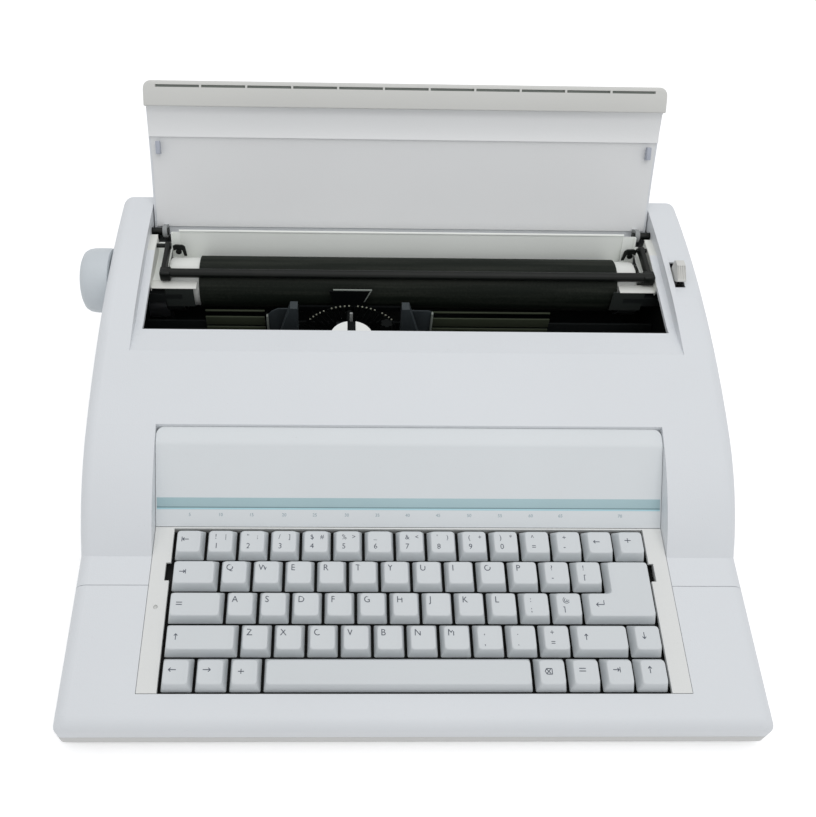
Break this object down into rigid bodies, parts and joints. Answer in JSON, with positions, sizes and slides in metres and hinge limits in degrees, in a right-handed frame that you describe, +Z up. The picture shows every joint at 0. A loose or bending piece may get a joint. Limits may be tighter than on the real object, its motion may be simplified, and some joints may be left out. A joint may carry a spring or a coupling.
{
  "type": "electronic typewriter",
  "caption": "Desktop electronic daisy-wheel typewriter with hinged lid open, sprung keys, turning platen, paper bail and a print carriage on rails.",
  "frame": {"origin": "centre of the footprint of the whole object's box, on the table the feet stand on", "axes": "+X to the right of someone typing, +Y away from them, +Z up"},
  "size_m": [0.4206, 0.3684, 0.1978],
  "materials": {
    "bail_metal": "satin black",
    "bar_plastic": "fine satin grain",
    "belt_rubber": "matte",
    "black_plastic": "smooth",
    "board_green": "lacquered",
    "bush_plastic": "satin",
    "cap_plastic": "satin",
    "card_plastic": "smoky",
    "carriage_plastic": "fine grain",
    "case_plastic": "fine satin grain",
    "core_steel": "varnished laminations",
    "dome_rubber": "matte",
    "foot_rubber": "matte",
    "frame_steel": "zinc plated",
    "gear_plastic": "satin",
    "key_plastic": "satin",
    "knob_plastic": "satin",
    "liner_plastic": "satin",
    "motor_metal": "satin black",
    "pan_steel": "satin pale grey",
    "panel_plastic": "fine satin grain",
    "plate_steel": "satin black",
    "platen_rubber": "ground rubber",
    "screw_steel": "zinc plated",
    "shaft_steel": "ground",
    "wheel_plastic": "satin"
  },
  "bodies": {
    "case": {"lower_case": "case_plastic", "rubber_feet": "foot_rubber", "case_screws": "screw_steel", "front_frame": "case_plastic", "upper_cover": "case_plastic", "keyboard_bezel": "panel_plastic", "label_panel": "panel_plastic", "key_plate": "plate_steel", "dome_sheet": "dome_rubber", "switch_board": "board_green", "mechanism_pan": "frame_steel", "left_side_frame": "frame_steel", "right_side_frame": "frame_steel", "platen_bushes": "bush_plastic", "feed_motor": "motor_metal", "paper_guides": "pan_steel", "pivot_pins": "shaft_steel", "carriage_rails": "shaft_steel", "drive_belt": "belt_rubber", "carriage_motor": "motor_metal", "main_board": "board_green", "transformer": "core_steel", "power_inlet": "black_plastic", "switch_housing": "black_plastic"},
    "function_keys_body": {"function_keys": "key_plastic"},
    "number_keys_body": {"number_keys": "key_plastic"},
    "backspace_key_body": {"backspace_key": "key_plastic"},
    "tab_key_body": {"tab_key": "key_plastic"},
    "upper_letter_keys_body": {"upper_letter_keys": "key_plastic"},
    "shift_lock_key_body": {"shift_lock_key": "key_plastic"},
    "home_letter_keys_body": {"home_letter_keys": "key_plastic"},
    "left_shift_key_body": {"left_shift_key": "key_plastic"},
    "lower_letter_keys_body": {"lower_letter_keys": "key_plastic"},
    "right_shift_key_body": {"right_shift_key": "key_plastic"},
    "code_key_body": {"code_key": "key_plastic"},
    "space_bar_body": {"space_bar": "key_plastic"},
    "correction_key_body": {"correction_key": "key_plastic"},
    "return_key_body": {"return_key": "key_plastic"},
    "lid_body": {"lid": "case_plastic", "lid_front_bar": "bar_plastic", "lid_liner": "liner_plastic"},
    "platen_body": {"platen_rubber": "platen_rubber", "platen_shaft": "shaft_steel", "platen_end_caps": "cap_plastic", "platen_knob": "knob_plastic", "platen_gear": "gear_plastic"},
    "feed_rollers_body": {"feed_rollers": "platen_rubber"},
    "feed_pinion_body": {"feed_pinion": "gear_plastic"},
    "paper_bail_body": {"paper_bail": "bail_metal"},
    "carriage_body": {"carriage_frame": "carriage_plastic", "card_holder": "card_plastic", "wheel_motor": "motor_metal", "hammer_solenoid": "motor_metal"},
    "daisy_wheel_body": {"daisy_wheel": "wheel_plastic"},
    "print_hammer_body": {"print_hammer": "shaft_steel"},
    "ribbon_spindle_body": {"ribbon_spindle": "cap_plastic"},
    "drive_pulley_body": {"drive_pulley": "gear_plastic"},
    "idler_pulley_body": {"idler_pulley": "gear_plastic"},
    "release_lever_body": {"release_lever": "bar_plastic"},
    "power_rocker_body": {"power_rocker": "black_plastic"}
  },
  "joints": [
    {"name": "function_keys_press", "type": "slide", "parent": "case", "child": "function_keys_body", "axis": [0, 0.1623, -0.9867], "range_m": [0, 0.0035], "stiffness_N_per_m": 600, "springref_m": -0.002},
    {"name": "number_keys_press", "type": "slide", "parent": "case", "child": "number_keys_body", "axis": [0, 0.1623, -0.9867], "range_m": [0, 0.0035], "stiffness_N_per_m": 600, "springref_m": -0.002},
    {"name": "backspace_key_press", "type": "slide", "parent": "case", "child": "backspace_key_body", "axis": [0, 0.1623, -0.9867], "range_m": [0, 0.0035], "stiffness_N_per_m": 150, "springref_m": -0.002},
    {"name": "tab_key_press", "type": "slide", "parent": "case", "child": "tab_key_body", "axis": [0, 0.1623, -0.9867], "range_m": [0, 0.0035], "stiffness_N_per_m": 150, "springref_m": -0.002},
    {"name": "upper_letter_keys_press", "type": "slide", "parent": "case", "child": "upper_letter_keys_body", "axis": [0, 0.1623, -0.9867], "range_m": [0, 0.0035], "stiffness_N_per_m": 600, "springref_m": -0.002},
    {"name": "shift_lock_key_press", "type": "slide", "parent": "case", "child": "shift_lock_key_body", "axis": [0, 0.1623, -0.9867], "range_m": [0, 0.0035], "stiffness_N_per_m": 150, "springref_m": -0.002},
    {"name": "home_letter_keys_press", "type": "slide", "parent": "case", "child": "home_letter_keys_body", "axis": [0, 0.1623, -0.9867], "range_m": [0, 0.0035], "stiffness_N_per_m": 600, "springref_m": -0.002},
    {"name": "left_shift_key_press", "type": "slide", "parent": "case", "child": "left_shift_key_body", "axis": [0, 0.1623, -0.9867], "range_m": [0, 0.0035], "stiffness_N_per_m": 150, "springref_m": -0.002},
    {"name": "lower_letter_keys_press", "type": "slide", "parent": "case", "child": "lower_letter_keys_body", "axis": [0, 0.1623, -0.9867], "range_m": [0, 0.0035], "stiffness_N_per_m": 600, "springref_m": -0.002},
    {"name": "right_shift_key_press", "type": "slide", "parent": "case", "child": "right_shift_key_body", "axis": [0, 0.1623, -0.9867], "range_m": [0, 0.0035], "stiffness_N_per_m": 150, "springref_m": -0.002},
    {"name": "code_key_press", "type": "slide", "parent": "case", "child": "code_key_body", "axis": [0, 0.1623, -0.9867], "range_m": [0, 0.0035], "stiffness_N_per_m": 150, "springref_m": -0.002},
    {"name": "space_bar_press", "type": "slide", "parent": "case", "child": "space_bar_body", "axis": [0, 0.1623, -0.9867], "range_m": [0, 0.0035], "stiffness_N_per_m": 200, "springref_m": -0.002},
    {"name": "correction_key_press", "type": "slide", "parent": "case", "child": "correction_key_body", "axis": [0, 0.1623, -0.9867], "range_m": [0, 0.0035], "stiffness_N_per_m": 150, "springref_m": -0.002},
    {"name": "return_key_press", "type": "slide", "parent": "case", "child": "return_key_body", "axis": [0, 0.1623, -0.9867], "range_m": [0, 0.0035], "stiffness_N_per_m": 150, "springref_m": -0.002},
    {"name": "lid_hinge", "type": "hinge", "parent": "case", "child": "lid_body", "pos_m": [0.01075, 0.13242, 0.111], "axis": [1, 0, 0], "range_deg": [0, 124.5]},
    {"name": "platen_turn", "type": "hinge", "parent": "case", "child": "platen_body", "pos_m": [0.01075, 0.10272, 0.0906], "axis": [1, 0, 0], "continuous": true},
    {"name": "feed_rollers_turn", "type": "hinge", "parent": "case", "child": "feed_rollers_body", "pos_m": [0.01075, 0.11833, 0.07198], "axis": [1, 0, 0], "continuous": true},
    {"name": "feed_pinion_turn", "type": "hinge", "parent": "case", "child": "feed_pinion_body", "pos_m": [-0.17475, 0.10272, 0.0681], "axis": [1, 0, 0], "continuous": true},
    {"name": "paper_bail_lift", "type": "hinge", "parent": "case", "child": "paper_bail_body", "pos_m": [0.01075, 0.11782, 0.11], "axis": [1, 0, 0], "range_deg": [-40, 0]},
    {"name": "carriage_slide", "type": "slide", "parent": "case", "child": "carriage_body", "axis": [1, 0, 0], "range_m": [-0.0728, 0.1372]},
    {"name": "daisy_wheel_turn", "type": "hinge", "parent": "carriage_body", "child": "daisy_wheel_body", "pos_m": [-0.02645, 0.07622, 0.0567], "axis": [0, 1, 0], "continuous": true},
    {"name": "print_hammer_strike", "type": "slide", "parent": "carriage_body", "child": "print_hammer_body", "axis": [0, 1, 0], "range_m": [0, 0.0022], "stiffness_N_per_m": 80, "springref_m": -0.001},
    {"name": "ribbon_spindle_turn", "type": "hinge", "parent": "carriage_body", "child": "ribbon_spindle_body", "pos_m": [-0.00145, 0.06281, 0.06], "axis": [0, 0, 1], "continuous": true},
    {"name": "drive_pulley_turn", "type": "hinge", "parent": "case", "child": "drive_pulley_body", "pos_m": [0.15975, 0.01581, 0.025], "axis": [0, 0, 1], "range_deg": [-520, 1060]},
    {"name": "idler_pulley_turn", "type": "hinge", "parent": "case", "child": "idler_pulley_body", "pos_m": [-0.15325, 0.01581, 0.025], "axis": [0, 0, 1], "range_deg": [-520, 1060]},
    {"name": "release_lever_pull", "type": "hinge", "parent": "case", "child": "release_lever_body", "pos_m": [0.19505, 0.09082, 0.07], "axis": [1, 0, 0], "range_deg": [-6, 0]},
    {"name": "power_rocker_tilt", "type": "hinge", "parent": "case", "child": "power_rocker_body", "pos_m": [0.16075, 0.16881, 0.04], "axis": [1, 0, 0], "range_deg": [0, 16]}
  ],
  "couplings": [
    {"joint": "feed_rollers_turn", "follows": "platen_turn", "ratio": -3},
    {"joint": "feed_pinion_turn", "follows": "platen_turn", "ratio": -4},
    {"joint": "drive_pulley_turn", "follows": "carriage_slide", "rad_per_m": 116.28},
    {"joint": "idler_pulley_turn", "follows": "carriage_slide", "rad_per_m": 116.28}
  ]
}
